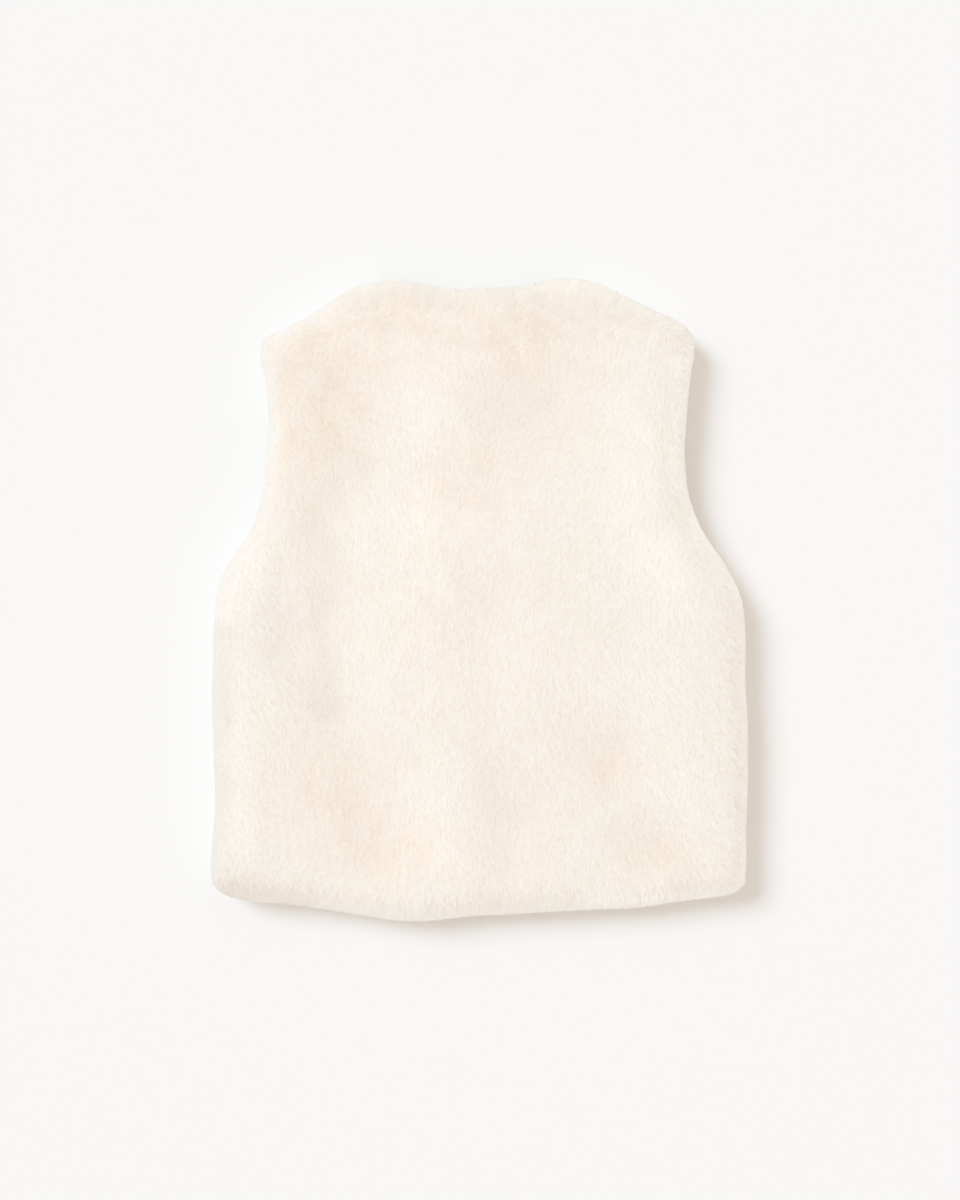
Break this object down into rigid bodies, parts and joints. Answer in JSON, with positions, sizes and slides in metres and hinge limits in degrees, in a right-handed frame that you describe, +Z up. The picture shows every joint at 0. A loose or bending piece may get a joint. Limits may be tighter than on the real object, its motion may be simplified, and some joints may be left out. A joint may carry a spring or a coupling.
{
  "type": "faux fur vest",
  "caption": "Sleeveless cream faux fur vest for a small child, laid flat with its back up, round front neck, deep armholes and a straight hem.",
  "frame": {"origin": "middle of the vest's outline, on the surface that it lies on", "axes": "+Z up from that surface, +Y from the hem to the neck, +X to the right of someone who looks down on the back"},
  "size_m": [0.343, 0.4085, 0.0295],
  "materials": {
    "cream_pile": "soft matt plush pile on a knitted backing"
  },
  "bodies": {
    "root": {"back": "cream_pile", "front_left": "cream_pile", "front_right": "cream_pile"}
  },
  "joints": []
}
